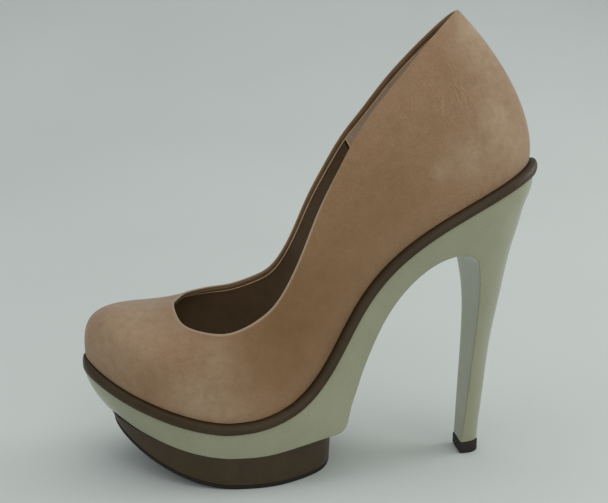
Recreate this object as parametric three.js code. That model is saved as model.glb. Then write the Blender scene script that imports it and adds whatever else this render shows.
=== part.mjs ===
// Platform pump with a stiletto heel, left foot.
// X runs from toe to heel, Y from the outer side of the foot to the inner side, Z up, in millimetres.
// The origin is on the floor under the ball of the foot.
import * as THREE from 'three';

// Driving sizes
const LENGTH = 216.6;
const TOE_TO_BALL = 76;
const BALL_WIDTH = 84;
const HEEL_RISE = 113;
const TOE_SPRING = 19.8;
const TOE_SWING = 2.5;
const OUTSOLE_THICK = 1.8;
const BLOCK_HEIGHT = 14;
const LAYER_HEIGHT = 11.9;
const RAND_THICK = 4.4;
const RAND_LEDGE = 3;
const WALL = 1.8;
const INSOLE_THICK = 2.4;
const QUARTER_HEIGHT = 93;
const UNIT_INSET = 1.9;
const UNIT_TOE_INSET = 0.6;
const SHANK_DEPTH = 11.4;
const CORNER_DEPTH = 9.6;
const FORE_LENGTH = 106.8;
const FORE_WIDTH = 77;
const FORE_SETBACK = 12.6;
const BLOCK_TAPER = 1.2;
const BLOCK_RAKE = 0.4;
const OUTSOLE_SPRING = 23.5;
const TREAD_START = -2.7;
const TIP_HEIGHT = 5.7;
const TIP_WIDTH = 14;
const TIP_DEPTH = 10.4;
const TIP_CHAMFER = 0.4;
const GAP = 0.3;

// How finely the forms are cut
const SIDE_STEPS = 40;
const RIB_STEPS = 9;
const RUNG_STEPS = 3;
const COLUMN_STEPS = 13;
const FORE_STEPS = 22;
const TIP_STEPS = 7;

// Places worked out from the sizes
const TOE_X = -TOE_TO_BALL;
const HEEL_X = TOE_X + LENGTH;
const FOREPART_Z = OUTSOLE_THICK + BLOCK_HEIGHT + LAYER_HEIGHT;
const BALL_ALONG = 0.322;

// Shares that shape the curves
const TOE_CURL = 1.66;
const SOLE_CURL = 1.9;
const UPRIGHT_END = 0.16;
const END_SWELL = 0.28;
const UNIT_SWELL = 0.6;
const FORE_SWING = 0.6;
const RAKE_FADE = 6;
const BREAST_FADE = 0.25;
const TIP_ROUND = 0.8;
const ANGLE_STEP = 0.004;

// Rise of the last's bottom behind the ball: along is a share of LENGTH, rise a share of HEEL_RISE
const BOTTOM_LINE = [
  { along: 0.322, rise: 0 },
  { along: 0.391, rise: 0.015 },
  { along: 0.436, rise: 0.044 },
  { along: 0.479, rise: 0.093 },
  { along: 0.521, rise: 0.179 },
  { along: 0.551, rise: 0.269 },
  { along: 0.576, rise: 0.359 },
  { along: 0.6, rise: 0.444 },
  { along: 0.624, rise: 0.516 },
  { along: 0.652, rise: 0.584 },
  { along: 0.686, rise: 0.65 },
  { along: 0.72, rise: 0.704 },
  { along: 0.789, rise: 0.792 },
  { along: 0.861, rise: 0.867 },
  { along: 0.926, rise: 0.931 },
  { along: 1, rise: 1 },
];

// Half widths of the rand seen from above: along is a share of LENGTH, outer and inner of BALL_WIDTH
const PLAN = [
  { along: 0, outer: 0, inner: 0 },
  { along: 0.047, outer: 0.206, inner: 0.226 },
  { along: 0.094, outer: 0.305, inner: 0.314 },
  { along: 0.164, outer: 0.404, inner: 0.392 },
  { along: 0.233, outer: 0.47, inner: 0.455 },
  { along: 0.303, outer: 0.506, inner: 0.478 },
  { along: 0.373, outer: 0.51, inner: 0.466 },
  { along: 0.442, outer: 0.486, inner: 0.425 },
  { along: 0.512, outer: 0.44, inner: 0.37 },
  { along: 0.582, outer: 0.393, inner: 0.331 },
  { along: 0.652, outer: 0.369, inner: 0.325 },
  { along: 0.721, outer: 0.367, inner: 0.345 },
  { along: 0.791, outer: 0.362, inner: 0.356 },
  { along: 0.861, outer: 0.334, inner: 0.334 },
  { along: 0.907, outer: 0.297, inner: 0.297 },
  { along: 0.954, outer: 0.224, inner: 0.224 },
  { along: 1, outer: 0, inner: 0 },
];

// Topline of the upper, one row for each station of the foot: along and over are shares of LENGTH, the
// stations on the last's edge and on the topline. Above and lift are shares of QUARTER_HEIGHT, where lift
// is what the inner side stands higher. Outer and inner are shares of BALL_WIDTH.
const TOPLINE = [
  { along: 0, over: 0.204, above: 0.506, lift: 0, outer: 0, inner: 0 },
  { along: 0.047, over: 0.21, above: 0.486, lift: 0.02, outer: 0.115, inner: 0.115 },
  { along: 0.1, over: 0.22, above: 0.464, lift: 0.056, outer: 0.185, inner: 0.18 },
  { along: 0.18, over: 0.242, above: 0.456, lift: 0.078, outer: 0.275, inner: 0.262 },
  { along: 0.27, over: 0.285, above: 0.464, lift: 0.09, outer: 0.362, inner: 0.335 },
  { along: 0.36, over: 0.336, above: 0.484, lift: 0.085, outer: 0.408, inner: 0.378 },
  { along: 0.44, over: 0.386, above: 0.534, lift: 0.058, outer: 0.425, inner: 0.398 },
  { along: 0.51, over: 0.431, above: 0.613, lift: 0.02, outer: 0.426, inner: 0.404 },
  { along: 0.57, over: 0.473, above: 0.76, lift: -0.012, outer: 0.418, inner: 0.402 },
  { along: 0.63, over: 0.513, above: 0.895, lift: -0.022, outer: 0.396, inner: 0.388 },
  { along: 0.69, over: 0.563, above: 0.93, lift: -0.02, outer: 0.352, inner: 0.352 },
  { along: 0.76, over: 0.615, above: 0.899, lift: -0.022, outer: 0.286, inner: 0.29 },
  { along: 0.83, over: 0.668, above: 0.893, lift: 0, outer: 0.238, inner: 0.24 },
  { along: 0.9, over: 0.73, above: 0.938, lift: 0, outer: 0.19, inner: 0.19 },
  { along: 0.955, over: 0.783, above: 0.985, lift: 0, outer: 0.115, inner: 0.115 },
  { along: 1, over: 0.816, above: 1, lift: 0, outer: 0, inner: 0 },
];

// How far in the upper stands on the rand, as a share of RAND_LEDGE, and how each of its ribs bows off
// its chord, low at the foot and high by the topline, as shares of QUARTER_HEIGHT: out is sideways off
// the last, up is upwards
const BOW = [
  { along: 0, ledge: 0.45, lowOut: 0.169, lowUp: 0.2, highOut: 0.194, highUp: 0.067 },
  { along: 0.1, ledge: 0.75, lowOut: 0.144, lowUp: 0.175, highOut: 0.155, highUp: 0.063 },
  { along: 0.2, ledge: 1, lowOut: 0.085, lowUp: 0.075, highOut: 0.12, highUp: 0.05 },
  { along: 0.33, ledge: 1, lowOut: 0.05, lowUp: 0, highOut: 0.075, highUp: 0.018 },
  { along: 0.48, ledge: 1, lowOut: 0.035, lowUp: 0, highOut: 0.05, highUp: 0 },
  { along: 0.65, ledge: 1, lowOut: 0.045, lowUp: 0, highOut: 0.05, highUp: 0 },
  { along: 0.8, ledge: 1, lowOut: 0.07, lowUp: 0, highOut: 0.07, highUp: 0 },
  { along: 0.92, ledge: 1.1, lowOut: 0.12, lowUp: -0.03, highOut: 0.095, highUp: 0 },
  { along: 1, ledge: 1.3, lowOut: 0.155, lowUp: -0.05, highOut: 0.123, highUp: 0.005 },
];

// The painted unit under the rand, from the toe to the arch: depth is measured down from the rand in
// shares of LAYER_HEIGHT, corner adds shares of CORNER_DEPTH, bridge shares of SHANK_DEPTH, and tuck is
// how far its lower edge lies in, in shares of BALL_WIDTH
const UNIT_EDGE = [
  { along: 0, depth: 1.26, corner: 0, bridge: 0, tuck: 0.108 },
  { along: 0.08, depth: 1.06, corner: 0, bridge: 0, tuck: 0.062 },
  { along: 0.15, depth: 0.99, corner: 0, bridge: 0, tuck: 0.03 },
  { along: 0.24, depth: 1, corner: 0, bridge: 0, tuck: 0.015 },
  { along: 0.35, depth: 1.035, corner: 0, bridge: 0, tuck: 0.011 },
  { along: 0.39, depth: 1.02, corner: 0.1, bridge: 0, tuck: 0.011 },
  { along: 0.436, depth: 1, corner: 0.27, bridge: 0, tuck: 0.011 },
  { along: 0.461, depth: 1, corner: 0.45, bridge: 0, tuck: 0.011 },
  { along: 0.484, depth: 1, corner: 0.8, bridge: 0, tuck: 0.013 },
  { along: 0.496, depth: 1, corner: 1, bridge: 0, tuck: 0.016 },
  { along: 0.508, depth: 0.5, corner: 0.86, bridge: 0.5, tuck: 0.021 },
  { along: 0.522, depth: 0, corner: 0.58, bridge: 1, tuck: 0.024 },
  { along: 0.536, depth: 0, corner: 0.33, bridge: 1.05, tuck: 0.026 },
  { along: 0.552, depth: 0, corner: 0.12, bridge: 1.07, tuck: 0.028 },
  { along: 0.576, depth: 0, corner: 0, bridge: 1.05, tuck: 0.03 },
  { along: 0.64, depth: 0, corner: 0, bridge: 0.96, tuck: 0.031 },
  { along: 0.7, depth: 0, corner: 0, bridge: 0.94, tuck: 0.031 },
  { along: 0.745, depth: 0, corner: 0, bridge: 1.03, tuck: 0.031 },
  { along: 0.786, depth: 0, corner: 0, bridge: 1.28, tuck: 0.033 },
];

// Sections of the heel from the seat to the tip: front, back are shares of LENGTH from the toe, frontUp
// and backUp of the heel's height, half of BALL_WIDTH, side and round shape the half outline
const HEEL = [
  { front: 0.786, frontUp: 0.822, back: 0.991, backUp: 0.998, half: 0.335, side: 0.5, round: 0.64 },
  { front: 0.8, frontUp: 0.775, back: 0.988, backUp: 0.945, half: 0.322, side: 0.46, round: 0.62 },
  { front: 0.813, frontUp: 0.729, back: 0.975, backUp: 0.884, half: 0.302, side: 0.42, round: 0.6 },
  { front: 0.841, frontUp: 0.71, back: 0.9645, backUp: 0.82, half: 0.279, side: 0.39, round: 0.58 },
  { front: 0.857, frontUp: 0.651, back: 0.949, backUp: 0.729, half: 0.25, side: 0.37, round: 0.56 },
  { front: 0.8635, frontUp: 0.56, back: 0.9365, backUp: 0.622, half: 0.205, side: 0.36, round: 0.55 },
  { front: 0.864, frontUp: 0.471, back: 0.925, backUp: 0.513, half: 0.172, side: 0.35, round: 0.55 },
  { front: 0.8615, frontUp: 0.375, back: 0.913, backUp: 0.402, half: 0.151, side: 0.35, round: 0.55 },
  { front: 0.858, frontUp: 0.278, back: 0.9055, backUp: 0.294, half: 0.135, side: 0.35, round: 0.55 },
  { front: 0.854, frontUp: 0.18, back: 0.9, backUp: 0.188, half: 0.121, side: 0.36, round: 0.56 },
  { front: 0.8495, frontUp: 0.07, back: 0.8935, backUp: 0.072, half: 0.1, side: 0.38, round: 0.58 },
  { front: 0.846, frontUp: 0, back: 0.891, backUp: 0, half: 0.083, side: 0.4, round: 0.6 },
];

// Outline of the forepart under the platform: along is a share of FORE_LENGTH, the halves of FORE_WIDTH
const FORE_PLAN = [
  { along: 0, outer: 0, inner: 0 },
  { along: 0.08, outer: 0.225, inner: 0.225 },
  { along: 0.166, outer: 0.325, inner: 0.322 },
  { along: 0.252, outer: 0.393, inner: 0.385 },
  { along: 0.367, outer: 0.457, inner: 0.442 },
  { along: 0.511, outer: 0.5, inner: 0.466 },
  { along: 0.655, outer: 0.5, inner: 0.452 },
  { along: 0.741, outer: 0.474, inner: 0.42 },
  { along: 0.827, outer: 0.415, inner: 0.365 },
  { along: 0.914, outer: 0.325, inner: 0.287 },
  { along: 0.962, outer: 0.24, inner: 0.218 },
  { along: 1, outer: 0, inner: 0 },
];

// Rounded edge of the rand from bottom to top: in is a share of RAND_LEDGE, up a share of RAND_THICK
const RAND_EDGE = [
  { in: 0.14, up: 0 },
  { in: 0, up: 0.28 },
  { in: 0.05, up: 0.6 },
  { in: 0.3, up: 0.88 },
  { in: 0.7, up: 1 },
];

// Smooth curve through rows of numbers, with its second slope nil at both ends
function smoothCurve(knots, values) {
  const last = knots.length - 1;
  const bend = new Array(last + 1).fill(0);
  const carry = new Array(last + 1).fill(0);
  for (let i = 1; i < last; i += 1) {
    const before = knots[i] - knots[i - 1];
    const after = knots[i + 1] - knots[i];
    const turn = (values[i + 1] - values[i]) / after - (values[i] - values[i - 1]) / before;
    const pivot = 2 * (before + after) - before * carry[i - 1];
    carry[i] = after / pivot;
    bend[i] = (6 * turn - before * bend[i - 1]) / pivot;
  }
  for (let i = last - 1; i > 0; i -= 1) bend[i] -= carry[i] * bend[i + 1];
  return (at) => {
    let i = 0;
    while (i < last - 1 && at > knots[i + 1]) i += 1;
    const span = knots[i + 1] - knots[i];
    const right = (at - knots[i]) / span;
    const left = 1 - right;
    const curl = (left ** 3 - left) * bend[i] + (right ** 3 - right) * bend[i + 1];
    return left * values[i] + right * values[i + 1] + (curl * span * span) / 6;
  };
}

function columnCurve(table, column, key = (row) => row.along) {
  return smoothCurve(table.map(key), table.map((row) => row[column]));
}

// An end of an outline is round, so widths are curves of this angle and not of the length itself
const roundKey = (along) => Math.acos(1 - 2 * Math.min(Math.max(along, 0), 1)) / Math.PI;
const roundAlong = (angle) => (1 - Math.cos(Math.PI * angle)) / 2;
const mix = (a, b, share) => a + (b - a) * share;

function softStep(value) {
  const share = Math.min(Math.max(value, 0), 1);
  return share * share * (3 - 2 * share);
}

function roundCurve(table, column) {
  return columnCurve(table, column, (row) => roundKey(row.along));
}

// Side view of the last's bottom, which is the lower face of the rand
const riseAt = columnCurve(BOTTOM_LINE, 'rise');

function bottomZ(x) {
  const along = (x - TOE_X) / LENGTH;
  if (along < BALL_ALONG) return FOREPART_Z + TOE_SPRING * (1 - along / BALL_ALONG) ** TOE_CURL;
  return FOREPART_Z + HEEL_RISE * riseAt(along);
}

function bottomSlope(x) {
  const step = 0.5;
  return Math.atan2(bottomZ(x + step) - bottomZ(x - step), 2 * step);
}

// Stations from toe to heel, spaced along the bottom's own length and closer at both ends
function stationAngles(steps) {
  const samples = 400;
  const reach = [0];
  for (let i = 1; i <= samples; i += 1) {
    const x = TOE_X + (LENGTH * i) / samples;
    const back = x - LENGTH / samples;
    reach.push(reach[i - 1] + Math.hypot(x - back, bottomZ(x) - bottomZ(back)));
  }
  const angles = [];
  for (let i = 0; i <= steps; i += 1) {
    const target = reach[samples] * roundAlong(i / steps);
    let k = 1;
    while (k < samples && reach[k] < target) k += 1;
    const part = (target - reach[k - 1]) / (reach[k] - reach[k - 1]);
    angles.push(roundKey((k - 1 + part) / samples));
  }
  return angles;
}

// Outline seen from above, with a given inset: side is -1 on the outer side and 1 on the inner side
function outline(table, from, length, width, swing) {
  const halves = { '-1': roundCurve(table, 'outer'), 1: roundCurve(table, 'inner') };
  const point = (side, angle) => {
    const along = roundAlong(angle);
    const shift = swing * Math.max(0, 1 - along / BALL_ALONG) ** 2;
    return [from + length * along, side * width * halves[side](angle) + shift];
  };
  return (side, angle, inset) => {
    const [x, y] = point(side, angle);
    if (angle <= 0 || angle >= 1) return [x + (angle <= 0 ? inset : -inset), y];
    const before = point(side, Math.max(angle - ANGLE_STEP, 0));
    const after = point(side, Math.min(angle + ANGLE_STEP, 1));
    const run = Math.hypot(after[0] - before[0], after[1] - before[1]);
    const outX = (-side * (after[1] - before[1])) / run;
    const outY = (side * (after[0] - before[0])) / run;
    return [x - inset * outX, y - inset * outY, outX, outY];
  };
}

const lastPlan = outline(PLAN, TOE_X, LENGTH, BALL_WIDTH, TOE_SWING);
const angles = stationAngles(SIDE_STEPS);

// Point on the edge of the last: inset from the rand's outline, lifted square to the bottom. At its two
// ends the edge stands upright and is a little higher.
function edgePoint(side, angle, inset, lift) {
  const [x, y] = lastPlan(side, angle, inset);
  const slope = bottomSlope(x);
  const share = softStep(Math.min(angle, 1 - angle) / UPRIGHT_END);
  const lean = slope * share;
  const height = (lift * (1 + END_SWELL * (1 - share)) * Math.cos(lean)) / Math.cos(slope - lean);
  return [x - lift * Math.sin(lean), y, bottomZ(x) + height];
}

// A ring runs from the toe along the outer side to the heel and back along the inner side
function ringOf(steps, pointAt) {
  const ring = [];
  for (let i = 0; i <= steps; i += 1) ring.push(pointAt(-1, i));
  for (let i = steps - 1; i > 0; i -= 1) ring.push(pointAt(1, i));
  return ring;
}

// Collects corners and triangles of one closed solid
function mesher() {
  const points = [];
  const faces = [];
  const add = (p) => points.push(p) - 1;
  const tri = (a, b, c) => {
    if (a !== b && b !== c && a !== c) faces.push(a, b, c);
  };
  const quad = (a, b, c, d) => {
    tri(a, b, c);
    tri(a, c, d);
  };
  const band = (lower, upper) => {
    const count = lower.length;
    for (let i = 0; i < count; i += 1) {
      const next = (i + 1) % count;
      quad(lower[i], lower[next], upper[next], upper[i]);
    }
  };
  // Strips across from the outer side to the inner side
  const lid = (ring, facingUp) => {
    const half = ring.length / 2;
    for (let i = 0; i < half; i += 1) {
      const near = [ring[i], ring[i + 1]];
      const far = [ring[(ring.length - i) % ring.length], ring[ring.length - i - 1]];
      if (facingUp) quad(near[0], near[1], far[1], far[0]);
      else quad(near[1], near[0], far[0], far[1]);
    }
  };
  const geometry = () => {
    const shape = new THREE.BufferGeometry();
    shape.setAttribute('position', new THREE.Float32BufferAttribute(points.flat(), 3));
    shape.setIndex(faces);
    shape.computeVertexNormals();
    return shape;
  };
  return { points, add, tri, quad, band, lid, geometry };
}

function stackOf(rings) {
  const work = mesher();
  const placed = rings.map((ring) => ring.map(work.add));
  for (let i = 1; i < placed.length; i += 1) work.band(placed[i - 1], placed[i]);
  work.lid(placed[0], false);
  work.lid(placed[placed.length - 1], true);
  return work.geometry();
}

const ledgeCurve = roundCurve(BOW, 'ledge');
const ledgeAt = (angle) => RAND_LEDGE * ledgeCurve(angle);

// Rand: a wrapped board with a rounded edge
function randGeometry() {
  const rings = RAND_EDGE.map((row) => {
    const lift = row.up * RAND_THICK;
    return ringOf(SIDE_STEPS, (side, i) => edgePoint(side, angles[i], row.in * ledgeAt(angles[i]), lift));
  });
  return stackOf(rings);
}

// Upper: ribs from the edge of the last up to the topline
const toplineCurves = {};
for (const name of ['over', 'above', 'lift', 'outer', 'inner']) {
  toplineCurves[name] = roundCurve(TOPLINE, name);
}
const bowCurves = {};
for (const name of ['lowOut', 'lowUp', 'highOut', 'highUp']) bowCurves[name] = roundCurve(BOW, name);

function toplinePoint(side, angle) {
  const x = TOE_X + LENGTH * toplineCurves.over(angle);
  const width = BALL_WIDTH * toplineCurves[side < 0 ? 'outer' : 'inner'](angle);
  const lift = side > 0 ? toplineCurves.lift(angle) : 0;
  const shift = TOE_SWING * Math.max(0, 1 - toplineCurves.over(angle) / BALL_ALONG) ** 2;
  const above = QUARTER_HEIGHT * (toplineCurves.above(angle) + lift);
  return [x, side * width + shift, bottomZ(x) + above];
}

function ribPoint(side, angle, climb) {
  const foot = edgePoint(side, angle, ledgeAt(angle), RAND_THICK + GAP);
  const top = toplinePoint(side, angle);
  const [, , outX = angle <= 0 ? -1 : 1, outY = 0] = lastPlan(side, angle, 0);
  const bow = (at, out, up) => {
    const share = QUARTER_HEIGHT * bowCurves[out](angle);
    return [
      mix(foot[0], top[0], at) + share * outX,
      mix(foot[1], top[1], at) + share * outY,
      mix(foot[2], top[2], at) + QUARTER_HEIGHT * bowCurves[up](angle),
    ];
  };
  const low = bow(1 / 3, 'lowOut', 'lowUp');
  const high = bow(2 / 3, 'highOut', 'highUp');
  const rest = 1 - climb;
  const weights = [rest ** 3, 3 * rest * rest * climb, 3 * rest * climb * climb, climb ** 3];
  return foot.map((value, i) => (
    weights[0] * value + weights[1] * low[i] + weights[2] * high[i] + weights[3] * top[i]
  ));
}

function upperGeometry() {
  const work = mesher();
  const outer = [];
  for (let row = 0; row <= RIB_STEPS; row += 1) {
    outer.push(ringOf(SIDE_STEPS, (side, i) => ribPoint(side, angles[i], row / RIB_STEPS)));
  }
  const count = outer[0].length;
  const inner = outer.map((ring, row) => ring.map((point, i) => {
    const before = new THREE.Vector3(...ring[(i + count - 1) % count]);
    const after = new THREE.Vector3(...ring[(i + 1) % count]);
    const below = new THREE.Vector3(...outer[Math.max(row - 1, 0)][i]);
    const above = new THREE.Vector3(...outer[Math.min(row + 1, RIB_STEPS)][i]);
    const outward = after.sub(before).cross(above.sub(below));
    if (row === 0) {
      const slope = bottomSlope(point[0]);
      const square = new THREE.Vector3(-Math.sin(slope), 0, Math.cos(slope));
      outward.addScaledVector(square, -outward.dot(square));
    }
    outward.setLength(WALL);
    return [point[0] - outward.x, point[1] - outward.y, point[2] - outward.z];
  }));
  const outerAt = outer.map((ring) => ring.map(work.add));
  const innerAt = inner.map((ring) => ring.map(work.add));
  for (let row = 0; row < RIB_STEPS; row += 1) {
    work.band(outerAt[row], outerAt[row + 1]);
    work.band(innerAt[row + 1], innerAt[row]);
  }
  work.band(outerAt[RIB_STEPS], innerAt[RIB_STEPS]);
  work.band(innerAt[0], outerAt[0]);
  return work.geometry();
}

// Insole: inside the upper, on the rand
function insoleGeometry() {
  const insetAt = (angle) => ledgeAt(angle) + WALL + GAP;
  const low = RAND_THICK + GAP;
  const rings = [low, low + INSOLE_THICK].map((lift) => (
    ringOf(SIDE_STEPS, (side, i) => edgePoint(side, angles[i], insetAt(angles[i]), lift))
  ));
  return stackOf(rings);
}

// Painted unit: platform layer, shank bridge and heel in one
const unitCurves = {};
for (const name of ['depth', 'corner', 'bridge', 'tuck']) unitCurves[name] = columnCurve(UNIT_EDGE, name);
const ARCH_ALONG = UNIT_EDGE[UNIT_EDGE.length - 1].along;
const archAngle = roundKey(ARCH_ALONG);
const archStep = angles.findIndex((angle) => angle > archAngle) - 1;
const unitAngles = angles.map((angle, i) => {
  if (i <= archStep) return (angle * archAngle) / angles[archStep];
  return mix(archAngle, 1, (angle - angles[archStep]) / (1 - angles[archStep]));
});

// The unit stands in under the rand, less so at the toe
const unitInset = (angle) => mix(UNIT_TOE_INSET, UNIT_INSET, softStep(angle / UPRIGHT_END));

// Lower edge of the platform layer and of the shank bridge
function unitEdgePoint(side, angle) {
  const along = roundAlong(angle);
  const tuck = BALL_WIDTH * unitCurves.tuck(along);
  const [x, y] = lastPlan(side, angle, unitInset(angle) + tuck);
  const layer = LAYER_HEIGHT * unitCurves.depth(along) + CORNER_DEPTH * unitCurves.corner(along);
  const depth = layer + SHANK_DEPTH * unitCurves.bridge(along);
  const slope = Math.max(bottomSlope(x), 0);
  return [x + depth * Math.sin(slope), y, bottomZ(x) - depth * Math.cos(slope)];
}

const heelShares = HEEL.map((row, i) => i / (HEEL.length - 1));
const heelCurves = {};
for (const name of Object.keys(HEEL[0])) {
  heelCurves[name] = smoothCurve(heelShares, HEEL.map((row) => row[name]));
}
const ARCH_SHARE = heelShares[2];

// Point on a heel section: down runs from the seat to the tip, round from the breast to the back
function heelPoint(side, down, round) {
  const foot = TIP_HEIGHT + GAP;
  const height = bottomZ(HEEL_X) - foot;
  const half = down < 1 ? BALL_WIDTH * heelCurves.half(down) : TIP_WIDTH / 2;
  const front = [TOE_X + LENGTH * heelCurves.front(down), foot + height * heelCurves.frontUp(down)];
  const back = [TOE_X + LENGTH * heelCurves.back(down), foot + height * heelCurves.backUp(down)];
  const rest = 1 - round;
  const blend = [rest ** 3, 3 * rest * rest * round, 3 * rest * round * round, round ** 3];
  const reach = blend[1] * heelCurves.side(down) + blend[2] + blend[3];
  const spread = blend[0] + blend[1] + blend[2] * heelCurves.round(down);
  return [mix(front[0], back[0], reach), side * half * spread, mix(front[1], back[1], reach)];
}

function unitRung(side, step, share) {
  const angle = unitAngles[step];
  const top = edgePoint(side, angle, unitInset(angle), -GAP);
  const low = unitEdgePoint(side, angle);
  const swell = UNIT_SWELL * BALL_WIDTH * unitCurves.tuck(roundAlong(angle)) * share * (1 - share);
  const [, , outX = -1, outY = 0] = lastPlan(side, angle, 0);
  return [
    mix(top[0], low[0], share) + swell * outX,
    mix(top[1], low[1], share) + swell * outY,
    mix(top[2], low[2], share),
  ];
}

function unitPoint(side, step, row) {
  const share = Math.min(row / RUNG_STEPS, 1);
  if (step <= archStep) {
    if (row <= RUNG_STEPS) return unitRung(side, step, share);
    return heelPoint(side, mix(ARCH_SHARE, 1, (row - RUNG_STEPS) / COLUMN_STEPS), 0);
  }
  const round = (step - archStep) / (SIDE_STEPS - archStep);
  if (row === 0) return edgePoint(side, unitAngles[step], UNIT_INSET, -GAP);
  const down = row <= RUNG_STEPS
    ? ARCH_SHARE * share
    : mix(ARCH_SHARE, 1, (row - RUNG_STEPS) / COLUMN_STEPS);
  const point = heelPoint(side, down, round);
  // The section starts where the bridge ends, also on the narrower inner side
  const start = heelPoint(side, down, 0);
  const joint = row <= RUNG_STEPS ? unitRung(side, archStep, share) : start;
  const archLow = unitRung(side, archStep, 1);
  const archStart = heelPoint(side, ARCH_SHARE, 0);
  const fade = softStep(1 - (row - RUNG_STEPS) / (BREAST_FADE * COLUMN_STEPS));
  const pull = (1 - round) ** 2;
  return point.map((value, i) => {
    if (row <= RUNG_STEPS) return value + (joint[i] - start[i]) * pull;
    return value + (archLow[i] - archStart[i]) * pull * fade;
  });
}

function unitGeometry() {
  const work = mesher();
  const rows = RUNG_STEPS + COLUMN_STEPS;
  const placed = { '-1': [], 1: [] };
  for (const side of [-1, 1]) {
    for (let step = 0; step <= SIDE_STEPS; step += 1) {
      const column = [];
      const deepest = step < archStep ? RUNG_STEPS : rows;
      for (let row = 0; row <= deepest; row += 1) {
        const shared = side > 0 && (step === 0 || step === SIDE_STEPS);
        column.push(shared ? placed[-1][step][row] : work.add(unitPoint(side, step, row)));
      }
      placed[side].push(column);
    }
  }
  for (let step = 0; step < SIDE_STEPS; step += 1) {
    const [outer, inner] = [placed[-1][step], placed[1][step]];
    const [outerAfter, innerAfter] = [placed[-1][step + 1], placed[1][step + 1]];
    const deepest = step < archStep ? RUNG_STEPS : rows;
    for (let row = 0; row < deepest; row += 1) {
      const next = row + 1;
      work.quad(outer[next], outerAfter[next], outerAfter[row], outer[row]);
      work.quad(inner[row], innerAfter[row], innerAfter[next], inner[next]);
    }
    work.quad(outer[0], outerAfter[0], innerAfter[0], inner[0]);
    work.quad(outerAfter[deepest], outer[deepest], inner[deepest], innerAfter[deepest]);
  }
  for (let row = RUNG_STEPS; row < rows; row += 1) {
    const near = placed[-1][archStep];
    const far = placed[1][archStep];
    work.quad(near[row + 1], near[row], far[row], far[row + 1]);
  }
  return work.geometry();
}

// Forepart block and outsole
const FORE_X = TOE_X + FORE_SETBACK;
const forePlan = outline(FORE_PLAN, FORE_X, FORE_LENGTH, FORE_WIDTH, TOE_SWING * FORE_SWING);

// Underside of the platform layer in side view, taken from its own lower edge
const underside = [];
for (let step = 0; step <= SIDE_STEPS; step += 1) {
  const outer = unitEdgePoint(-1, unitAngles[Math.min(step, archStep)]);
  const inner = unitEdgePoint(1, unitAngles[Math.min(step, archStep)]);
  const x = (outer[0] + inner[0]) / 2;
  const forward = step === 0 || x > underside[underside.length - 1][0];
  if (forward) underside.push([x, (outer[2] + inner[2]) / 2]);
}

function undersideZ(x) {
  let i = 1;
  while (i < underside.length - 1 && underside[i][0] < x) i += 1;
  const share = (x - underside[i - 1][0]) / (underside[i][0] - underside[i - 1][0]);
  return mix(underside[i - 1][1], underside[i][1], Math.max(share, 0));
}

// The sole is flat on the floor from the ball back and curls up at the toe
function soleZ(x) {
  const curl = Math.max(0, (x - TREAD_START) / (FORE_X - TREAD_START));
  return x < TREAD_START ? OUTSOLE_SPRING * curl ** SOLE_CURL : 0;
}

function foreRing(inset, rake, height) {
  return ringOf(FORE_STEPS, (side, i) => {
    const angle = i / FORE_STEPS;
    const [x, y] = forePlan(side, angle, inset);
    const shifted = x + rake * (1 - roundAlong(angle)) ** RAKE_FADE;
    return [shifted, y, height(shifted)];
  });
}

function blockGeometry() {
  const low = (x) => soleZ(x) + OUTSOLE_THICK + GAP;
  return stackOf([
    foreRing(BLOCK_TAPER, BLOCK_RAKE, low),
    foreRing(0, 0, (x) => undersideZ(x) - GAP),
  ]);
}

function outsoleGeometry() {
  return stackOf([
    foreRing(BLOCK_TAPER, BLOCK_RAKE, soleZ),
    foreRing(BLOCK_TAPER, BLOCK_RAKE, (x) => soleZ(x) + OUTSOLE_THICK),
  ]);
}

// Heel tip: square at the breast, rounded at the back
function tipGeometry() {
  const section = heelPoint(-1, 1, 0);
  const back = heelPoint(-1, 1, 1);
  const middle = (section[0] + back[0]) / 2;
  const ring = (z, inset) => {
    const halfDepth = TIP_DEPTH / 2 - inset;
    const halfWidth = TIP_WIDTH / 2 - inset;
    const points = [];
    for (let i = 0; i <= 2 * TIP_STEPS; i += 1) {
      const turn = (Math.PI * i) / (2 * TIP_STEPS);
      const across = -Math.cos(turn);
      const reach = Math.sin(turn) ** TIP_ROUND;
      points.push([middle - halfDepth + 2 * halfDepth * reach, across * halfWidth, z]);
    }
    return points;
  };
  const work = mesher();
  const sections = [ring(0, TIP_CHAMFER), ring(TIP_CHAMFER, 0), ring(TIP_HEIGHT, 0)];
  const rings = sections.map((points) => points.map(work.add));
  work.band(rings[0], rings[1]);
  work.band(rings[1], rings[2]);
  const [floor, , seat] = rings;
  for (let i = 1; i < floor.length - 1; i += 1) {
    work.tri(floor[0], floor[i + 1], floor[i]);
    work.tri(seat[0], seat[i], seat[i + 1]);
  }
  return work.geometry();
}

function piece(name, geometry, color, roughness, metalness = 0) {
  const material = new THREE.MeshStandardMaterial({ color, roughness, metalness });
  const mesh = new THREE.Mesh(geometry, material);
  mesh.name = name;
  return mesh;
}

const group = new THREE.Group();
group.add(piece('upper', upperGeometry(), '#9a8165', 0.85));
group.add(piece('insole', insoleGeometry(), '#4a3526', 0.7));
group.add(piece('rand', randGeometry(), '#4f3f30', 0.5));
group.add(piece('heel_platform', unitGeometry(), '#8b9079', 0.3, 0.2));
group.add(piece('platform_block', blockGeometry(), '#3d3026', 0.5));
group.add(piece('outsole', outsoleGeometry(), '#1f1d1a', 0.8));
group.add(piece('heel_tip', tipGeometry(), '#23201c', 0.7));

export default group;
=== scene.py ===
# Platform pump with a stiletto heel, left foot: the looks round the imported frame.
# X runs from toe to heel, Y from the outer to the inner side, Z up, in metres.
import math

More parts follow.
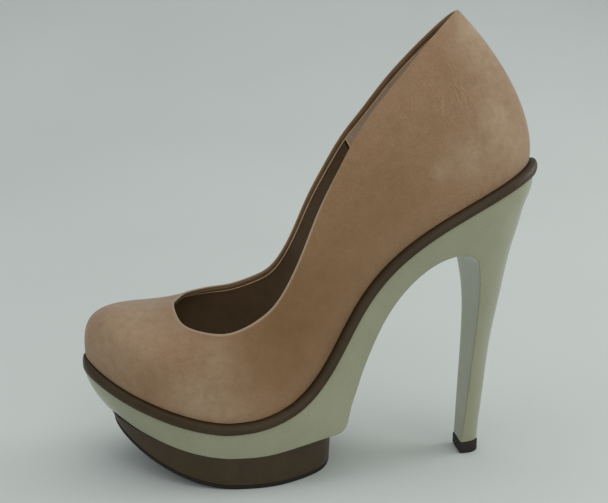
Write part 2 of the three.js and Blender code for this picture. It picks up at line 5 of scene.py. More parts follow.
import bmesh
import bpy
import numpy as np
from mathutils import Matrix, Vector


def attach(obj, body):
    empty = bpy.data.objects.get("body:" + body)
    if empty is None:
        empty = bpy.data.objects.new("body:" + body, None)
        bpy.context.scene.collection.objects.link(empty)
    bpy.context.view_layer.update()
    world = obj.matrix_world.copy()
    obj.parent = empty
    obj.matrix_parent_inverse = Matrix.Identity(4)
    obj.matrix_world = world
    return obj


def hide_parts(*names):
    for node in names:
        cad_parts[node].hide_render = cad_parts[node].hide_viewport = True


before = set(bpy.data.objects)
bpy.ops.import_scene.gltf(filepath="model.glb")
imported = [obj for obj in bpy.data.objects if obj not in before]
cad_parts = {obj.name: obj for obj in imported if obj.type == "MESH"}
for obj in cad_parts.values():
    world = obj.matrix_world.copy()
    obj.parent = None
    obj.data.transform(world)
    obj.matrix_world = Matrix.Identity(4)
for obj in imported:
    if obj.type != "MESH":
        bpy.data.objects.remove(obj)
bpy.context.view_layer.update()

# Driving sizes
MM = 0.001
LENGTH = 216.6 * MM
TOE_TO_BALL = 76 * MM
BALL_WIDTH = 84 * MM
HEEL_RISE = 113 * MM
TOE_SPRING = 19.8 * MM
TOE_SWING = 2.5 * MM
OUTSOLE_THICK = 1.8 * MM
BLOCK_HEIGHT = 14 * MM
LAYER_HEIGHT = 11.9 * MM
RAND_THICK = 4.4 * MM
RAND_LEDGE = 3 * MM
WALL = 1.8 * MM
INSOLE_THICK = 2.4 * MM
QUARTER_HEIGHT = 93 * MM
UNIT_INSET = 1.9 * MM
UNIT_TOE_INSET = 0.6 * MM
SHANK_DEPTH = 11.4 * MM
CORNER_DEPTH = 9.6 * MM
FORE_LENGTH = 106.8 * MM
FORE_WIDTH = 77 * MM
FORE_SETBACK = 12.6 * MM
BLOCK_TAPER = 1.2 * MM
BLOCK_RAKE = 0.4 * MM
OUTSOLE_SPRING = 23.5 * MM
TREAD_START = -2.7 * MM
TIP_HEIGHT = 5.7 * MM
TIP_WIDTH = 14 * MM
TIP_DEPTH = 10.4 * MM
GAP = 0.3 * MM

# Layers of the upper, measured inwards from its outer face, and places along its wall
NUBUCK_THICK = 1.1 * MM
LINING_DEPTH = 1.18 * MM
BINDING_DEPTH = 1.84 * MM
BINDING_THICK = 0.5 * MM
BINDING_WIDTH = 1.7 * MM
BINDING_DROP = 0.8 * MM
GRIP_THICK = 0.4 * MM
GRIP_RISE = 6 * MM
GRIP_FRONT = 0.718
EDGE_ROUND = 0.55 * MM
CORD_RADIUS = 0.3 * MM
SEAM_RADIUS = 0.45 * MM
# How far towards the next column the seam's painted shadow cord lies, as a share
SEAM_SHADOW_AHEAD = 0.4
SOCK_DISH = 0.8 * MM
DISH_WIDTH = 20 * MM

# The topline's rim is painted pale down to these depths, partly the nubuck's paler cut edge and partly a
# painted highlight on the rounded edge, and the paleness fades out towards the heel
RIM_DEPTHS = (0.8 * MM, 1.7 * MM)
RIM_FADE_X = (30 * MM, 55 * MM)
RIM_FADE = 1.4 * MM

# How finely the forms are cut
RING_STEPS = 130
UPPER_ROWS = 46
BAND_ROWS = 8
ROUND_ROWS = 6
CORD_SIDES = 8
PLATFORM_STEPS = 150
SEAT_STEPS = 34
RUNG_ROWS = 10
COLUMN_ROWS = 70
ACROSS = 8
FORE_STEPS = 90
TIP_STEPS = 28
RAND_ROWS = 16
BLOCK_ROWS = 12
SOCK_ACROSS = 16
STAGE_STEPS = 16
LINE_SAMPLES = 401
RIB_SAMPLES = 241
UNDERSIDE_SAMPLES = 200

# Corners nearer than this are welded, and shorter edges are taken out
WELD = 0.004 * MM
SHORTEST_EDGE = 0.002 * MM

# Places worked out from the sizes
OUTER, INNER = -1, 1
TOE_X = -TOE_TO_BALL
HEEL_X = TOE_X + LENGTH
FOREPART_Z = OUTSOLE_THICK + BLOCK_HEIGHT + LAYER_HEIGHT
FORE_X = TOE_X + FORE_SETBACK
BALL_ALONG = 0.322

# Shares that shape the curves, and the steps that slopes are measured over
TOE_CURL = 1.66
SOLE_CURL = 1.9
UPRIGHT_END = 0.16
END_SWELL = 0.28
UNIT_SWELL = 0.6
FORE_SWING = 0.6
RAKE_FADE = 6
BREAST_FADE = 0.25
SEAT_FADE = 3
TIP_ROUND = 0.8
ANGLE_STEP = 0.004
SLOPE_STEP = 0.5 * MM


def table(columns, *rows):
    """A short table with named columns."""
    return dict(zip(columns.split(), np.array(rows, float).T))


# Rise of the last's bottom behind the ball: along is a share of LENGTH, rise a share of HEEL_RISE
BOTTOM_LINE = table(
    "along rise",
    (0.322, 0),
    (0.391, 0.015),
    (0.436, 0.044),
    (0.479, 0.093),
    (0.521, 0.179),
    (0.551, 0.269),
    (0.576, 0.359),
    (0.6, 0.444),
    (0.624, 0.516),
    (0.652, 0.584),
    (0.686, 0.65),
    (0.72, 0.704),
    (0.789, 0.792),
    (0.861, 0.867),
    (0.926, 0.931),
    (1, 1),
)

# Half widths of the rand seen from above: along is a share of LENGTH, outer and inner of BALL_WIDTH
PLAN = table(
    "along outer inner",
    (0, 0, 0),
    (0.047, 0.206, 0.226),
    (0.094, 0.305, 0.314),
    (0.164, 0.404, 0.392),
    (0.233, 0.47, 0.455),
    (0.303, 0.506, 0.478),
    (0.373, 0.51, 0.466),
    (0.442, 0.486, 0.425),
    (0.512, 0.44, 0.37),
    (0.582, 0.393, 0.331),
    (0.652, 0.369, 0.325),
    (0.721, 0.367, 0.345),
    (0.791, 0.362, 0.356),
    (0.861, 0.334, 0.334),
    (0.907, 0.297, 0.297),
    (0.954, 0.224, 0.224),
    (1, 0, 0),
)

# Topline of the upper: along and over are shares of LENGTH, the stations on the last's edge and on the
# topline, above and lift of QUARTER_HEIGHT, where lift is what the inner side stands higher, and the
# half widths of BALL_WIDTH
TOPLINE = table(
    "along over above lift outer inner",
    (0, 0.204, 0.506, 0, 0, 0),
    (0.047, 0.21, 0.486, 0.02, 0.115, 0.115),
    (0.1, 0.22, 0.464, 0.056, 0.185, 0.18),
    (0.18, 0.242, 0.456, 0.078, 0.275, 0.262),
    (0.27, 0.285, 0.464, 0.09, 0.362, 0.335),
    (0.36, 0.336, 0.484, 0.085, 0.408, 0.378),
    (0.44, 0.386, 0.534, 0.058, 0.425, 0.398),
    (0.51, 0.431, 0.613, 0.02, 0.426, 0.404),
    (0.57, 0.473, 0.76, -0.012, 0.418, 0.402),
    (0.63, 0.513, 0.895, -0.022, 0.396, 0.388),
    (0.69, 0.563, 0.93, -0.02, 0.352, 0.352),
    (0.76, 0.615, 0.899, -0.022, 0.286, 0.29),
    (0.83, 0.668, 0.893, 0, 0.238, 0.24),
    (0.9, 0.73, 0.938, 0, 0.19, 0.19),
    (0.955, 0.783, 0.985, 0, 0.115, 0.115),
    (1, 0.816, 1, 0, 0, 0),
)

# How far in the upper stands on the rand, as a share of RAND_LEDGE, and how each of its ribs bows off
# its chord, low at the foot and high by the topline, as shares of QUARTER_HEIGHT
BOW = table(
    "along ledge lowOut lowUp highOut highUp",
    (0, 0.45, 0.169, 0.2, 0.194, 0.067),
    (0.1, 0.75, 0.144, 0.175, 0.155, 0.063),
    (0.2, 1, 0.085, 0.075, 0.12, 0.05),
    (0.33, 1, 0.05, 0, 0.075, 0.018),
    (0.48, 1, 0.035, 0, 0.05, 0),
    (0.65, 1, 0.045, 0, 0.05, 0),
    (0.8, 1, 0.07, 0, 0.07, 0),
    (0.92, 1.1, 0.12, -0.03, 0.095, 0),
    (1, 1.3, 0.155, -0.05, 0.123, 0.005),
)

# Lower edge of the painted unit from toe to arch: depth below the rand in shares of LAYER_HEIGHT, corner
# of CORNER_DEPTH, bridge of SHANK_DEPTH, and tuck, how far it lies in, of BALL_WIDTH
UNIT_EDGE = table(
    "along depth corner bridge tuck",
    (0, 1.26, 0, 0, 0.108),
    (0.08, 1.06, 0, 0, 0.062),
    (0.15, 0.99, 0, 0, 0.03),
    (0.24, 1, 0, 0, 0.015),
    (0.35, 1.035, 0, 0, 0.011),
    (0.39, 1.02, 0.1, 0, 0.011),
    (0.436, 1, 0.27, 0, 0.011),
    (0.461, 1, 0.45, 0, 0.011),
    (0.484, 1, 0.8, 0, 0.013),
    (0.496, 1, 1, 0, 0.016),
    (0.508, 0.5, 0.86, 0.5, 0.021),
    (0.522, 0, 0.58, 1, 0.024),
    (0.536, 0, 0.33, 1.05, 0.026),
    (0.552, 0, 0.12, 1.07, 0.028),
    (0.576, 0, 0, 1.05, 0.03),
    (0.64, 0, 0, 0.96, 0.031),
    (0.7, 0, 0, 0.94, 0.031),
    (0.745, 0, 0, 1.03, 0.031),
    (0.786, 0, 0, 1.28, 0.033),
)

# Sections of the heel from the seat to the tip: front, back are shares of LENGTH from the toe, frontUp
# and backUp of the heel's height, half of BALL_WIDTH, side and round shape the half outline
HEEL = table(
    "front frontUp back backUp half side round",
    (0.786, 0.822, 0.991, 0.998, 0.335, 0.5, 0.64),
    (0.8, 0.775, 0.988, 0.945, 0.322, 0.46, 0.62),
    (0.813, 0.729, 0.975, 0.884, 0.302, 0.42, 0.6),
    (0.841, 0.71, 0.9645, 0.82, 0.279, 0.39, 0.58),
    (0.857, 0.651, 0.949, 0.729, 0.25, 0.37, 0.56),
    (0.8635, 0.56, 0.9365, 0.622, 0.205, 0.36, 0.55),
    (0.864, 0.471, 0.925, 0.513, 0.172, 0.35, 0.55),
    (0.8615, 0.375, 0.913, 0.402, 0.151, 0.35, 0.55),
    (0.858, 0.278, 0.9055, 0.294, 0.135, 0.35, 0.55),
    (0.854, 0.18, 0.9, 0.188, 0.121, 0.36, 0.56),
    (0.8495, 0.07, 0.8935, 0.072, 0.1, 0.38, 0.58),
    (0.846, 0, 0.891, 0, 0.083, 0.4, 0.6),
)

# Outline of the forepart under the platform: along is a share of FORE_LENGTH, the halves of FORE_WIDTH
FORE_PLAN = table(
    "along outer inner",
    (0, 0, 0),
    (0.08, 0.225, 0.225),
    (0.166, 0.325, 0.322),
    (0.252, 0.393, 0.385),
    (0.367, 0.457, 0.442),
    (0.511, 0.5, 0.466),
    (0.655, 0.5, 0.452),
    (0.741, 0.474, 0.42),
    (0.827, 0.415, 0.365),
    (0.914, 0.325, 0.287),
    (0.962, 0.24, 0.218),
    (1, 0, 0),
)

# Pale and dark patches of the upper seen from the side, partly the nubuck's own patches and partly painted
# light: painted highlight on the toe top and heel, painted shade on the ball, waist and quarter. Middle and
# reach in mm, and strength
PALE_AND_HIGHLIGHT = table(
    "x z reach strength",
    (-51, 77, 20, 0.45),
    (-22, 44, 9, 0.35),
    (-10, 37, 14, 0.3),
    (-10, 61, 9, 0.3),
    (88, 142, 4, 0.35),
    (101, 147, 9, 0.4),
    (113, 168, 8, 0.4),
    (120, 156, 13, 0.4),
    (110, 190, 12, 0.35),
    (104, 204, 9, 0.5),
)
DARK_AND_SHADE = table(
    "x z reach strength",
    (-66, 73, 5, 0.35),
    (-42, 49, 8, 0.4),
    (17, 66, 30, 0.8),
    (32, 96, 28, 0.55),
    (60, 132, 32, 0.5),
    (91, 187, 6, 0.3),
)

# Finely wrinkled places of the upper seen from the side, in mm, and light scratches: place along X, and
# from where to where they run upwards
WRINKLED = table("x z reach strength", (98, 177, 11, 1), (88, 168, 9, 0.6))
SCRATCHES = ((89.4, 165, 177), (117.9, 162.5, 171.5))
SCRATCH_WIDTH = 0.12 * MM
SCRATCH_STRENGTH = 0.35

# Soft troughs of the upper seen from the side, from one place to another, with width and depth, in mm
TROUGHS = table(
    "x z toX toZ wide deep",
    (56, 150, 70, 126, 7, 0.3),
    (86, 188, 96, 171, 3.5, 0.2),
    (93, 191, 104, 173, 3.5, 0.2),
    (8, 74, 22, 46, 8, 0.25),
)

# Rounded edges from bottom to top: how far in they lie, for the rand as a share of its ledge and for the
# others in mm, and how far up, as a share of the thickness
RAND_EDGE = table("in_ up", (0.14, 0), (0, 0.28), (0.05, 0.6), (0.3, 0.88), (0.7, 1))
SOCK_EDGE = ((0, 0), (0, 0.6), (0.2, 0.85), (0.7, 0.97), (1.6, 1))
OUTSOLE_EDGE = ((0.5, 0), (0.14, 0.12), (0, 0.4), (0, 0.75), (0.2, 1))

# Edges of the heel tip in mm: how far in, and how far up from the floor or down from its top
TIP_FOOT_EDGE = ((0.8, 0), (0.25, 0.15), (0, 0.6))
TIP_TOP_EDGE = ((0, 0.4), (0.2, 0))


# Curves and outlines

def smooth_curve(knots, values):
    """Smooth curve through rows of numbers, with its second slope nil at both ends."""
    knots, values = np.asarray(knots, float), np.asarray(values, float)
    gaps = np.diff(knots)
    count = len(knots)
    matrix, turns = np.eye(count), np.zeros(count)
    for i in range(1, count - 1):
        matrix[i, i - 1:i + 2] = gaps[i - 1], 2 * (gaps[i - 1] + gaps[i]), gaps[i]
        turns[i] = 6 * ((values[i + 1] - values[i]) / gaps[i] - (values[i] - values[i - 1]) / gaps[i - 1])
    bend = np.linalg.solve(matrix, turns)

    def at(where):
        where = np.asarray(where, float)
        i = np.clip(np.searchsorted(knots, where) - 1, 0, count - 2)
        right = (where - knots[i]) / gaps[i]
        left = 1 - right
        curl = (left ** 3 - left) * bend[i] + (right ** 3 - right) * bend[i + 1]
        return left * values[i] + right * values[i + 1] + curl * gaps[i] ** 2 / 6

    return at


def round_key(along):
    """An end of an outline is round, so widths are curves of this angle and not of the length itself."""
    return np.arccos(1 - 2 * np.clip(along, 0, 1)) / np.pi


def round_along(angle):
    return (1 - np.cos(np.pi * np.asarray(angle, float))) / 2


def round_curves(rows, *names):
    return {name: smooth_curve(round_key(rows["along"]), rows[name]) for name in names}


def mix(a, b, share):
    return a + (b - a) * share


def unit(vectors):
    return vectors / np.maximum(np.linalg.norm(vectors, axis=-1, keepdims=True), 1e-12)


def soft_step(value):
    value = np.clip(value, 0, 1)
    return value * value * (3 - 2 * value)


rise_at = smooth_curve(BOTTOM_LINE["along"], BOTTOM_LINE["rise"])


def bottom_z(x):
    """Side view of the last's bottom, which is the lower face of the rand."""
    along = (np.asarray(x, float) - TOE_X) / LENGTH
    spring = TOE_SPRING * np.clip(1 - along / BALL_ALONG, 0, None) ** TOE_CURL
    return FOREPART_Z + np.where(along < BALL_ALONG, spring, HEEL_RISE * rise_at(along))


def bottom_slope(x):
    return np.arctan2(bottom_z(x + SLOPE_STEP) - bottom_z(x - SLOPE_STEP), 2 * SLOPE_STEP)


def station_angle(share):
    """Stations from toe to heel, spaced along the bottom's own length and closer at both ends."""
    along = np.linspace(0, 1, LINE_SAMPLES)
    x = TOE_X + LENGTH * along
    reach = np.concatenate([[0], np.cumsum(np.hypot(np.diff(x), np.diff(bottom_z(x))))])
    return round_key(np.interp(reach[-1] * round_along(share), reach, along))


ring_angles = station_angle(np.linspace(0, 1, RING_STEPS + 1))


def outline(plan, start, length, width, swing):
    """Outline seen from above: gives the point at an angle with an inset, and the way out there."""
    halves = round_curves(plan, "outer", "inner")

    def point(side, angle):
        along = round_along(angle)
        half = halves["outer" if side < 0 else "inner"](angle)
        shift = swing * np.clip(1 - along / BALL_ALONG, 0, None) ** 2
        return np.stack([start + length * along, side * width * half + shift], -1)

    def at(side, angle, inset=0.0):
        angle = np.asarray(angle, float)
        ahead, behind = np.minimum(angle + ANGLE_STEP, 1), np.maximum(angle - ANGLE_STEP, 0)
        run = unit(point(side, ahead) - point(side, behind))
        out = np.stack([-side * run[..., 1], side * run[..., 0]], -1)
        out = np.where(angle[..., None] <= 0, (-1.0, 0.0), out)
        out = np.where(angle[..., None] >= 1, (1.0, 0.0), out)
        inset = np.broadcast_to(np.asarray(inset, float), angle.shape)
        return point(side, angle) - inset[..., None] * out, out

    return at


last_plan = outline(PLAN, TOE_X, LENGTH, BALL_WIDTH, TOE_SWING)


def edge_point(side, angle, inset, lift):
    """Point on the edge of the last: inset from the rand's outline, lifted square to the bottom. At its
    two ends the edge stands upright and is a little higher."""
    spot, _ = last_plan(side, angle, inset)
    x, y = spot[..., 0], spot[..., 1]
    slope = bottom_slope(x)
    share = soft_step(np.minimum(angle, 1 - angle) / UPRIGHT_END)
    lean = slope * share
    height = lift * (1 + END_SWELL * (1 - share)) * np.cos(lean) / np.cos(slope - lean)
    return np.stack([x - lift * np.sin(lean), y, bottom_z(x) + height], -1)


def ring_of(point_at, shares):
    """A ring runs from the toe along the outer side to the heel and back along the inner side."""
    outer, inner = point_at(OUTER, shares), point_at(INNER, shares)
    return np.concatenate([outer, inner[..., -2:0:-1, :]], axis=-2)


# Meshes

def patch(grid, wrap=False, close=False):
    """Corners and faces of a grid; wrap joins its last column to the first, close its last row."""
    rows, columns = grid.shape[:2]
    index = np.arange(rows * columns).reshape(rows, columns)
    if wrap:
        index = np.concatenate([index, index[:, :1]], axis=1)
    if close:
        index = np.concatenate([index, index[:1]], axis=0)
    faces = np.stack([index[:-1, :-1], index[:-1, 1:], index[1:, 1:], index[1:, :-1]], -1)
    return grid.reshape(-1, 3), faces.reshape(-1, 4)


def lid(ring, columns=ACROSS, dish=0.0):
    """Closes a ring with strips from its outer to its inner side, dished in the middle."""
    half = len(ring) // 2
    near = ring[:half + 1]
    far = np.concatenate([ring[:1], ring[:half - 1:-1]])
    share = np.linspace(0, 1, columns + 1)[None, :, None]
    grid = mix(near[:, None], far[:, None], share)
    width = np.linalg.norm(far - near, axis=-1)[:, None]
    grid[..., 2] -= dish * 4 * (share * (1 - share))[..., 0] * np.clip(width / DISH_WIDTH, 0, 1)
    return patch(grid)


def build(name, patches, material, marks=None, sharp=40):
    """One welded mesh from several patches. Marks are named numbers, one for each corner."""
    corners = np.concatenate([points for points, _ in patches])
    starts = np.cumsum([0] + [len(points) for points, _ in patches[:-1]])
    faces = np.concatenate([quads + start for (_, quads), start in zip(patches, starts)])
    mesh = bpy.data.meshes.new(name)
    mesh.from_pydata(corners.tolist(), [], faces.tolist())
    for mark, values in (marks or {}).items():
        mesh.attributes.new(mark, "FLOAT", "POINT").data.foreach_set("value", values.astype(np.float32))
    work = bmesh.new()
    work.from_mesh(mesh)
    bmesh.ops.remove_doubles(work, verts=work.verts, dist=WELD)
    bmesh.ops.dissolve_degenerate(work, edges=work.edges, dist=SHORTEST_EDGE)
    bmesh.ops.recalc_face_normals(work, faces=work.faces)
    work.to_mesh(mesh)
    work.free()
    mesh.shade_smooth()
    mesh.set_sharp_from_angle(angle=math.radians(sharp))
    mesh.materials.append(material)
    piece = bpy.data.objects.new(name, mesh)
    bpy.context.scene.collection.objects.link(piece)
    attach(piece, "root")
    return piece


# Upper

ledge_curve = round_curves(BOW, "ledge")["ledge"]
topline_curves = round_curves(TOPLINE, "over", "above", "lift", "outer", "inner")
bow_curves = round_curves(BOW, "lowOut", "lowUp", "highOut", "highUp")


def ledge_at(angle):
    return RAND_LEDGE * ledge_curve(angle)


def topline_point(side, angle):
    over = topline_curves["over"](angle)
    x = TOE_X + LENGTH * over
    width = BALL_WIDTH * topline_curves["outer" if side < 0 else "inner"](angle)
    lift = topline_curves["lift"](angle) if side > 0 else 0
    shift = TOE_SWING * np.clip(1 - over / BALL_ALONG, 0, None) ** 2
    above = QUARTER_HEIGHT * (topline_curves["above"](angle) + lift)
    return np.stack([x, side * width + shift, bottom_z(x) + above], -1)


def rib_points(side, angle, climb):
    """Points of the upper's outer face. Climb has one row for each row of points."""
    foot = edge_point(side, angle, ledge_at(angle), RAND_THICK + GAP)
    top = topline_point(side, angle)
    _, out = last_plan(side, angle)

    def bow(at, sideways, upwards):
        share = (QUARTER_HEIGHT * bow_curves[sideways](angle))[..., None]
        lift = QUARTER_HEIGHT * bow_curves[upwards](angle)
        return mix(foot, top, at) + np.concatenate([share * out, lift[..., None]], -1)

    low, high = bow(1 / 3, "lowOut", "lowUp"), bow(2 / 3, "highOut", "highUp")
    climb = np.asarray(climb, float)[..., None]
    rest = 1 - climb
    return rest ** 3 * foot + 3 * rest ** 2 * climb * low + 3 * rest * climb ** 2 * high + climb ** 3 * top


def climb_below_top(side, angle, drop):
    """How far up its rib a point lies that is a given length below the topline."""
    samples = np.linspace(1, 0, RIB_SAMPLES)
    ribs = rib_points(side, angle, samples[:, None])
    reach = np.cumsum(np.linalg.norm(np.diff(ribs, axis=0), axis=-1), axis=0)
    reach = np.concatenate([np.zeros((1, reach.shape[1])), reach])
    return np.array([np.interp(drop, reach[:, i], samples) for i in range(reach.shape[1])])


def wall_ring(angle, rows, low, high):
    """Ring of ribs between two heights. Low and high give the climb at a side and angles."""
    share = np.linspace(0, 1, rows + 1)[:, None]

    def side_points(side, angles):
        return rib_points(side, angles, mix(low(side, angles)[None], high(side, angles)[None], share))

    return ring_of(side_points, angle)


def ways_out(grid):
    """Outward directions of a ring of ribs, and the directions up its ribs."""
    around = np.roll(grid, -1, axis=1) - np.roll(grid, 1, axis=1)
    upwards = np.gradient(grid, axis=0)
    return unit(np.cross(around, upwards)), unit(upwards)


def shell(grid, near, far):
    """Closed wall between two depths under a ring of ribs, with a round top edge."""
    out, up = ways_out(grid)
    radius = (far - near) / 2
    rows = [grid[i] - near * out[i] for i in range(len(grid))]
    for turn in np.linspace(0, np.pi, ROUND_ROWS + 1)[1:-1]:
        depth = near + radius * (1 - np.cos(turn))
        rows.append(grid[-1] - depth * out[-1] + radius * np.sin(turn) * up[-1])
    rows += [grid[i] - far * out[i] for i in range(len(grid) - 1, -1, -1)]
    return np.array(rows)


def spots(points, rows):
    """Strength of soft patches at each point."""
    x, z = points[..., 0, None] / MM, points[..., 2, None] / MM
    away = ((x - rows["x"]) ** 2 + (z - rows["z"]) ** 2) / rows["reach"] ** 2
    return (rows["strength"] * np.exp(-away)).sum(-1)


def trough_depth(points):
    """Depth of the soft troughs at each point, in metres."""
    x, z = points[..., 0, None] / MM, points[..., 2, None] / MM
    run_x, run_z = TROUGHS["toX"] - TROUGHS["x"], TROUGHS["toZ"] - TROUGHS["z"]
    share = ((x - TROUGHS["x"]) * run_x + (z - TROUGHS["z"]) * run_z) / (run_x ** 2 + run_z ** 2)
    share = np.clip(share, 0, 1)
    away = (x - TROUGHS["x"] - share * run_x) ** 2 + (z - TROUGHS["z"] - share * run_z) ** 2
    return (TROUGHS["deep"] * np.exp(-away / TROUGHS["wide"] ** 2)).sum(-1) * MM


def cord(name, line, out, radius, material, closed=False):
    """Thin round cord along a line on the wall; out is the wall's way out at each point."""
    ahead = np.roll(line, -1, axis=0) - np.roll(line, 1, axis=0) if closed else np.gradient(line, axis=0)
    across = unit(np.cross(ahead, out))
    turn = np.linspace(0, 2 * np.pi, CORD_SIDES + 1)[:-1, None, None]
    grid = line[None] + radius * (np.cos(turn) * out[None] + np.sin(turn) * across[None])
    patches = [patch(grid, wrap=closed, close=True)]
    if not closed:
        half = CORD_SIDES // 2 + 1
        for i in (0, -1):
            ring = grid[:, i]
            patches.append(patch(np.stack([ring[:half], np.concatenate([ring[:1], ring[:half - 2:-1]])], 1)))
    build(name, patches, material, sharp=80)


def climb_to(climb):
    """The same climb at every rib, for wall_ring."""
    return lambda side, angle: np.full(np.shape(angle), float(climb))


def below_top(drop):
    """The climb at each rib that stays a given length below the topline, for wall_ring."""
    return lambda side, angle: climb_below_top(side, angle, drop)


def nubuck_piece(stuff):
    """Outer layer of the upper, turned in at the topline, with its troughs and its marks."""
    skin = wall_ring(ring_angles, UPPER_ROWS, climb_to(0), below_top(NUBUCK_THICK / 2))
    skin -= trough_depth(skin)[..., None] * ways_out(skin)[0]
    outside = shell(skin, 0, NUBUCK_THICK)
    crown = len(skin) + ROUND_ROWS // 2
    drop = np.linalg.norm(outside - outside[crown], axis=-1)
    drop += np.interp(outside[..., 0], RIM_FADE_X, (0, RIM_FADE))
    inside = np.zeros_like(drop)
    inside[crown:] = 1
    marks = {"drop": drop, "inside": inside, "pale": spots(outside, PALE_AND_HIGHLIGHT), "dark": spots(outside, DARK_AND_SHADE),
             "wrinkled": spots(outside, WRINKLED)}
    marks = {mark: values.ravel() for mark, values in marks.items()}
    piece = build("upper_outside", [patch(outside, wrap=True, close=True)], stuff["nubuck"], marks)
    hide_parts("upper")


def lining_pieces(stuff):
    """Lining, the binding inside the topline, and the light cord along the binding's lower edge."""
    ring = wall_ring(ring_angles, UPPER_ROWS, climb_to(0), below_top(BINDING_DROP + EDGE_ROUND))
    lining = shell(ring, LINING_DEPTH, WALL)
    build("lining", [patch(lining, wrap=True, close=True)], stuff["lining"])

    low, high = below_top(BINDING_DROP + BINDING_WIDTH), below_top(BINDING_DROP)
    band = shell(wall_ring(ring_angles, BAND_ROWS, low, high), BINDING_DEPTH, BINDING_DEPTH + BINDING_THICK)
    binding = build("topline_binding", [patch(band, wrap=True, close=True)], stuff["binding"])

    # The cord follows the middle row of three, whose neighbours give the wall's way out
    edge_drop = BINDING_DROP + BINDING_WIDTH + CORD_RADIUS
    edge_ring = wall_ring(ring_angles, 2, below_top(edge_drop + MM), below_top(edge_drop - MM))
    out, _ = ways_out(edge_ring)
    line = edge_ring[1] - (BINDING_DEPTH + CORD_RADIUS) * out[1]
    cord("binding_edge", line, out[1], CORD_RADIUS, stuff["thread"], closed=True)


def grip_pieces(stuff):
    """Suede grip that lines the heel from a seam on one side round to the seam on the other, with a light
    thread cord on each seam and a near-black cord just ahead of it as a painted shadow line.
    """
    first = int(np.argmax(round_along(ring_angles) > GRIP_FRONT))
    keep = slice(first, 2 * RING_STEPS - first + 1)
    low, high = climb_to(GRIP_RISE / QUARTER_HEIGHT), below_top(BINDING_DROP + BINDING_WIDTH + EDGE_ROUND)
    grip_ring = wall_ring(ring_angles, UPPER_ROWS, low, high)
    grip = shell(grip_ring, BINDING_DEPTH, BINDING_DEPTH + GRIP_THICK)[:, keep]
    half = len(grip) // 2
    ends = [patch(np.stack([grip[:half, i], grip[::-1][:half, i]], 1)) for i in (0, -1)]
    build("heel_grip", [patch(grip, close=True), *ends], stuff["grip"])
    out, _ = ways_out(grip_ring)
    for column, name in ((first, "grip_seam_outer"), (keep.stop - 1, "grip_seam_inner")):
        line = grip_ring[:, column] - (BINDING_DEPTH + GRIP_THICK) * out[:, column]
        cord(name, line, out[:, column], SEAM_RADIUS, stuff["thread"])
        # A near-black cord just ahead of each seam is a painted shadow line
        ahead = grip_ring[:, column - 1 if column == first else column + 1]
        line = mix(grip_ring[:, column], ahead, SEAM_SHADOW_AHEAD) - BINDING_DEPTH * out[:, column]
        cord(name + "_painted_shadow", line, out[:, column], CORD_RADIUS, stuff["sole"])


def insole_piece(stuff):
    """Padded sock on the insole board, with a rounded edge and a shallow dish."""
    rings = []
    for inward, up in SOCK_EDGE:
        inset, lift = WALL + GAP + inward * MM, RAND_THICK + GAP + up * INSOLE_THICK
        rings.append(ring_of(lambda side, a: edge_point(side, a, ledge_at(a) + inset, lift), ring_angles))
    rings = np.array(rings)
    patches = [patch(rings, wrap=True), lid(rings[0]), lid(rings[-1], columns=SOCK_ACROSS, dish=SOCK_DISH)]
    piece = build("insole_sock", patches, stuff["sock"])
    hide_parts("insole")


def rand_piece(stuff):
    """Wrapped band board under the upper, with its rounded edge."""
    knots = np.arange(len(RAND_EDGE["up"]))
    inward, up = smooth_curve(knots, RAND_EDGE["in_"]), smooth_curve(knots, RAND_EDGE["up"])
    rings = []
    for at in np.linspace(0, knots[-1], RAND_ROWS + 1):
        share, lift = inward(at), RAND_THICK * float(np.clip(up(at), 0, 1))
        rings.append(ring_of(lambda side, a: edge_point(side, a, share * ledge_at(a), lift), ring_angles))
    rings = np.array(rings)
    piece = build("rand_band", [patch(rings, wrap=True), lid(rings[0]), lid(rings[-1])], stuff["rand"])
    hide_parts("rand")


# Painted unit: platform layer, shank bridge and heel in one

unit_curves = {name: smooth_curve(UNIT_EDGE["along"], UNIT_EDGE[name])
               for name in ("depth", "corner", "bridge", "tuck")}
ARCH_ALONG = UNIT_EDGE["along"][-1]
ARCH_ANGLE = float(round_key(ARCH_ALONG))
line_shares = np.linspace(0, 1, LINE_SAMPLES)
ARCH_STATION = float(np.interp(ARCH_ANGLE, station_angle(line_shares), line_shares))
heel_shares = np.linspace(0, 1, len(HEEL["front"]))
heel_curves = {name: smooth_curve(heel_shares, values) for name, values in HEEL.items()}
ARCH_SHARE = float(heel_shares[2])


def unit_inset(angle):
    """The unit stands in under the rand, less so at the toe."""
    return mix(UNIT_TOE_INSET, UNIT_INSET, soft_step(angle / UPRIGHT_END))


def unit_edge_point(side, angle, inward=0.0):
    """Lower edge of the platform layer and of the shank bridge."""
    along = round_along(angle)
    inset = unit_inset(angle) + BALL_WIDTH * unit_curves["tuck"](along) + inward
    spot, _ = last_plan(side, angle, inset)
    x, y = spot[..., 0], spot[..., 1]
    layer = LAYER_HEIGHT * unit_curves["depth"](along) + CORNER_DEPTH * unit_curves["corner"](along)
    depth = layer + SHANK_DEPTH * unit_curves["bridge"](along)
    slope = np.maximum(bottom_slope(x), 0)
    return np.stack([x + depth * np.sin(slope), y, bottom_z(x) - depth * np.cos(slope)], -1)


def heel_point(side, down, round_):
    """Point on a heel section: down runs from the seat to the tip, round from the breast to the back."""
    down, round_ = np.broadcast_arrays(np.asarray(down, float), np.asarray(round_, float))
    foot = TIP_HEIGHT + GAP
    height = float(bottom_z(HEEL_X)) - foot
    curve = {name: made(down) for name, made in heel_curves.items()}
    half = np.where(down < 1, BALL_WIDTH * curve["half"], TIP_WIDTH / 2)
    rest = 1 - round_
    blend = [rest ** 3, 3 * rest ** 2 * round_, 3 * rest * round_ ** 2, round_ ** 3]
    reach = blend[1] * curve["side"] + blend[2] + blend[3]
    spread = blend[0] + blend[1] + blend[2] * curve["round"]
    x = TOE_X + LENGTH * mix(curve["front"], curve["back"], reach)
    z = foot + height * mix(curve["frontUp"], curve["backUp"], reach)
    return np.stack([x, side * half * spread, z], -1)


